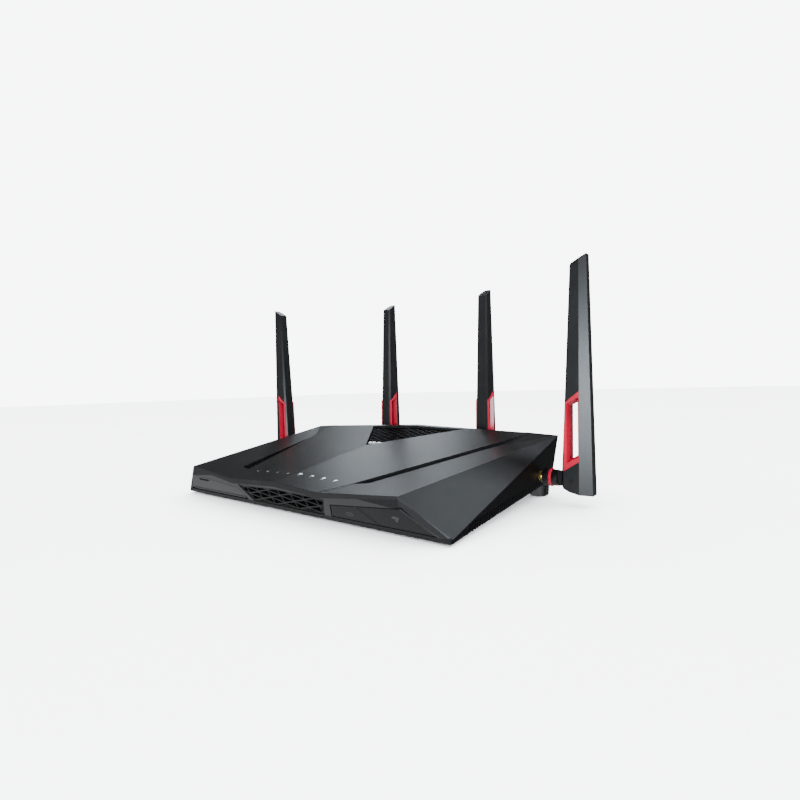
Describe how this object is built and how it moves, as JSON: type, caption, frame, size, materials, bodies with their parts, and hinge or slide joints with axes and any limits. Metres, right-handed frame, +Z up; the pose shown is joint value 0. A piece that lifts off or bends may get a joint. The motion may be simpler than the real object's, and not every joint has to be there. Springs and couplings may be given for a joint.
{
  "type": "wireless router",
  "caption": "Desktop wireless router: faceted vented case, hinged front socket door, push keys, rear network sockets and swivelling, tilting blade antennas.",
  "frame": {"origin": "centre of the whole object's footprint box, antennas upright, on the table plane", "axes": "+X to the right seen from the front, +Y from the front to the sockets at the back, +Z up"},
  "size_m": [0.3816, 0.2324, 0.1946],
  "materials": {
    "case_plastic": "satin dark graphite with fine texture",
    "base_plastic": "near-black satin",
    "bezel_plastic": "near-black semi-gloss",
    "grille_plastic": "black satin",
    "mesh_plastic": "black gloss",
    "badge_metal": "bright satin metal",
    "light_pipe": "milky translucent",
    "circuit_board": "green solder mask",
    "chip_black": "moulded black",
    "sink_aluminium": "extruded",
    "steel": "plated",
    "socket_plastic": "yellow moulded",
    "wan_plastic": "blue moulded",
    "usb_socket": "tinned shell",
    "brass": "gold plated",
    "rubber": "black, slightly glossy",
    "door_plastic": "satin graphite",
    "key_plastic": "near-black satin",
    "collar_plastic": "black satin",
    "red_plastic": "saturated red, glossy",
    "antenna_plastic": "charcoal satin"
  },
  "bodies": {
    "root": {"top_cover": "case_plastic", "bottom_case": "base_plastic", "front_bezel": "bezel_plastic", "front_grille": "grille_plastic", "top_mesh": "mesh_plastic", "badge": "badge_metal", "left_groove_vent": "grille_plastic", "right_groove_vent": "grille_plastic", "light_pipes": "light_pipe", "main_board": "circuit_board", "chips": "chip_black", "heat_sink": "sink_aluminium", "rf_shields": "steel", "key_board": "circuit_board", "key_switches": "chip_black", "rear_switches": "chip_black", "rear_panel": "base_plastic", "lan_ports": "socket_plastic", "wan_port": "wan_plastic", "usb_port_rear": "usb_socket", "usb_port_front": "usb_socket", "dc_jack": "chip_black", "sma_connectors": "brass", "front_feet": "rubber", "rear_feet": "rubber", "case_screws": "steel", "door_pin": "steel"},
    "usb_door": {"usb_door": "door_plastic"},
    "wps_button": {"wps_button": "key_plastic"},
    "wifi_button": {"wifi_button": "key_plastic"},
    "power_button": {"power_button": "key_plastic"},
    "reset_button": {"reset_button": "key_plastic"},
    "side_left_neck": {"side_left_collar": "collar_plastic", "side_left_ring": "red_plastic", "side_left_neck": "collar_plastic"},
    "side_left_blade": {"side_left_blade": "antenna_plastic", "side_left_window_frame": "red_plastic", "side_left_hinge_pin": "collar_plastic", "side_left_radiator": "circuit_board"},
    "rear_left_neck": {"rear_left_collar": "collar_plastic", "rear_left_ring": "red_plastic", "rear_left_neck": "collar_plastic"},
    "rear_left_blade": {"rear_left_blade": "antenna_plastic", "rear_left_window_frame": "red_plastic", "rear_left_hinge_pin": "collar_plastic", "rear_left_radiator": "circuit_board"},
    "rear_right_neck": {"rear_right_collar": "collar_plastic", "rear_right_ring": "red_plastic", "rear_right_neck": "collar_plastic"},
    "rear_right_blade": {"rear_right_blade": "antenna_plastic", "rear_right_window_frame": "red_plastic", "rear_right_hinge_pin": "collar_plastic", "rear_right_radiator": "circuit_board"},
    "side_right_neck": {"side_right_collar": "collar_plastic", "side_right_ring": "red_plastic", "side_right_neck": "collar_plastic"},
    "side_right_blade": {"side_right_blade": "antenna_plastic", "side_right_window_frame": "red_plastic", "side_right_hinge_pin": "collar_plastic", "side_right_radiator": "circuit_board"}
  },
  "joints": [
    {"name": "usb_door_hinge", "type": "hinge", "parent": "root", "child": "usb_door", "pos_m": [-0.094, -0.10178, 0.00805], "axis": [1, 0, 0], "range_deg": [0, 60]},
    {"name": "wps_button_press", "type": "slide", "parent": "root", "child": "wps_button", "axis": [0, 0.848, 0.53], "range_m": [0, 0.001], "stiffness_N_per_m": 300, "springref_m": -0.001},
    {"name": "wifi_button_press", "type": "slide", "parent": "root", "child": "wifi_button", "axis": [0, 0.848, 0.53], "range_m": [0, 0.001], "stiffness_N_per_m": 300, "springref_m": -0.001},
    {"name": "power_button_press", "type": "slide", "parent": "root", "child": "power_button", "axis": [0, -1, 0], "range_m": [0, 0.002], "stiffness_N_per_m": 300, "springref_m": -0.001},
    {"name": "reset_button_press", "type": "slide", "parent": "root", "child": "reset_button", "axis": [0, -1, 0], "range_m": [0, 0.0008], "stiffness_N_per_m": 300, "springref_m": -0.001},
    {"name": "side_left_swivel", "type": "hinge", "parent": "root", "child": "side_left_neck", "pos_m": [-0.1674, 0.0405, 0.021], "axis": [-1, 0, 0], "range_deg": [-90, 90]},
    {"name": "side_left_tilt", "type": "hinge", "parent": "side_left_neck", "child": "side_left_blade", "pos_m": [-0.1754, 0.0405, 0.021], "axis": [0, -1, 0], "range_deg": [0, 90]},
    {"name": "rear_left_swivel", "type": "hinge", "parent": "root", "child": "rear_left_neck", "pos_m": [-0.0635, 0.0928, 0.021], "axis": [0, 1, 0], "range_deg": [-90, 35]},
    {"name": "rear_left_tilt", "type": "hinge", "parent": "rear_left_neck", "child": "rear_left_blade", "pos_m": [-0.0635, 0.10079, 0.021], "axis": [-1, 0, 0], "range_deg": [0, 90]},
    {"name": "rear_right_swivel", "type": "hinge", "parent": "root", "child": "rear_right_neck", "pos_m": [0.0635, 0.0928, 0.021], "axis": [0, 1, 0], "range_deg": [-35, 90]},
    {"name": "rear_right_tilt", "type": "hinge", "parent": "rear_right_neck", "child": "rear_right_blade", "pos_m": [0.0635, 0.10079, 0.021], "axis": [-1, 0, 0], "range_deg": [0, 90]},
    {"name": "side_right_swivel", "type": "hinge", "parent": "root", "child": "side_right_neck", "pos_m": [0.1674, 0.0405, 0.021], "axis": [-1, 0, 0], "range_deg": [-90, 90]},
    {"name": "side_right_tilt", "type": "hinge", "parent": "side_right_neck", "child": "side_right_blade", "pos_m": [0.1754, 0.0405, 0.021], "axis": [0, 1, 0], "range_deg": [0, 90]}
  ]
}
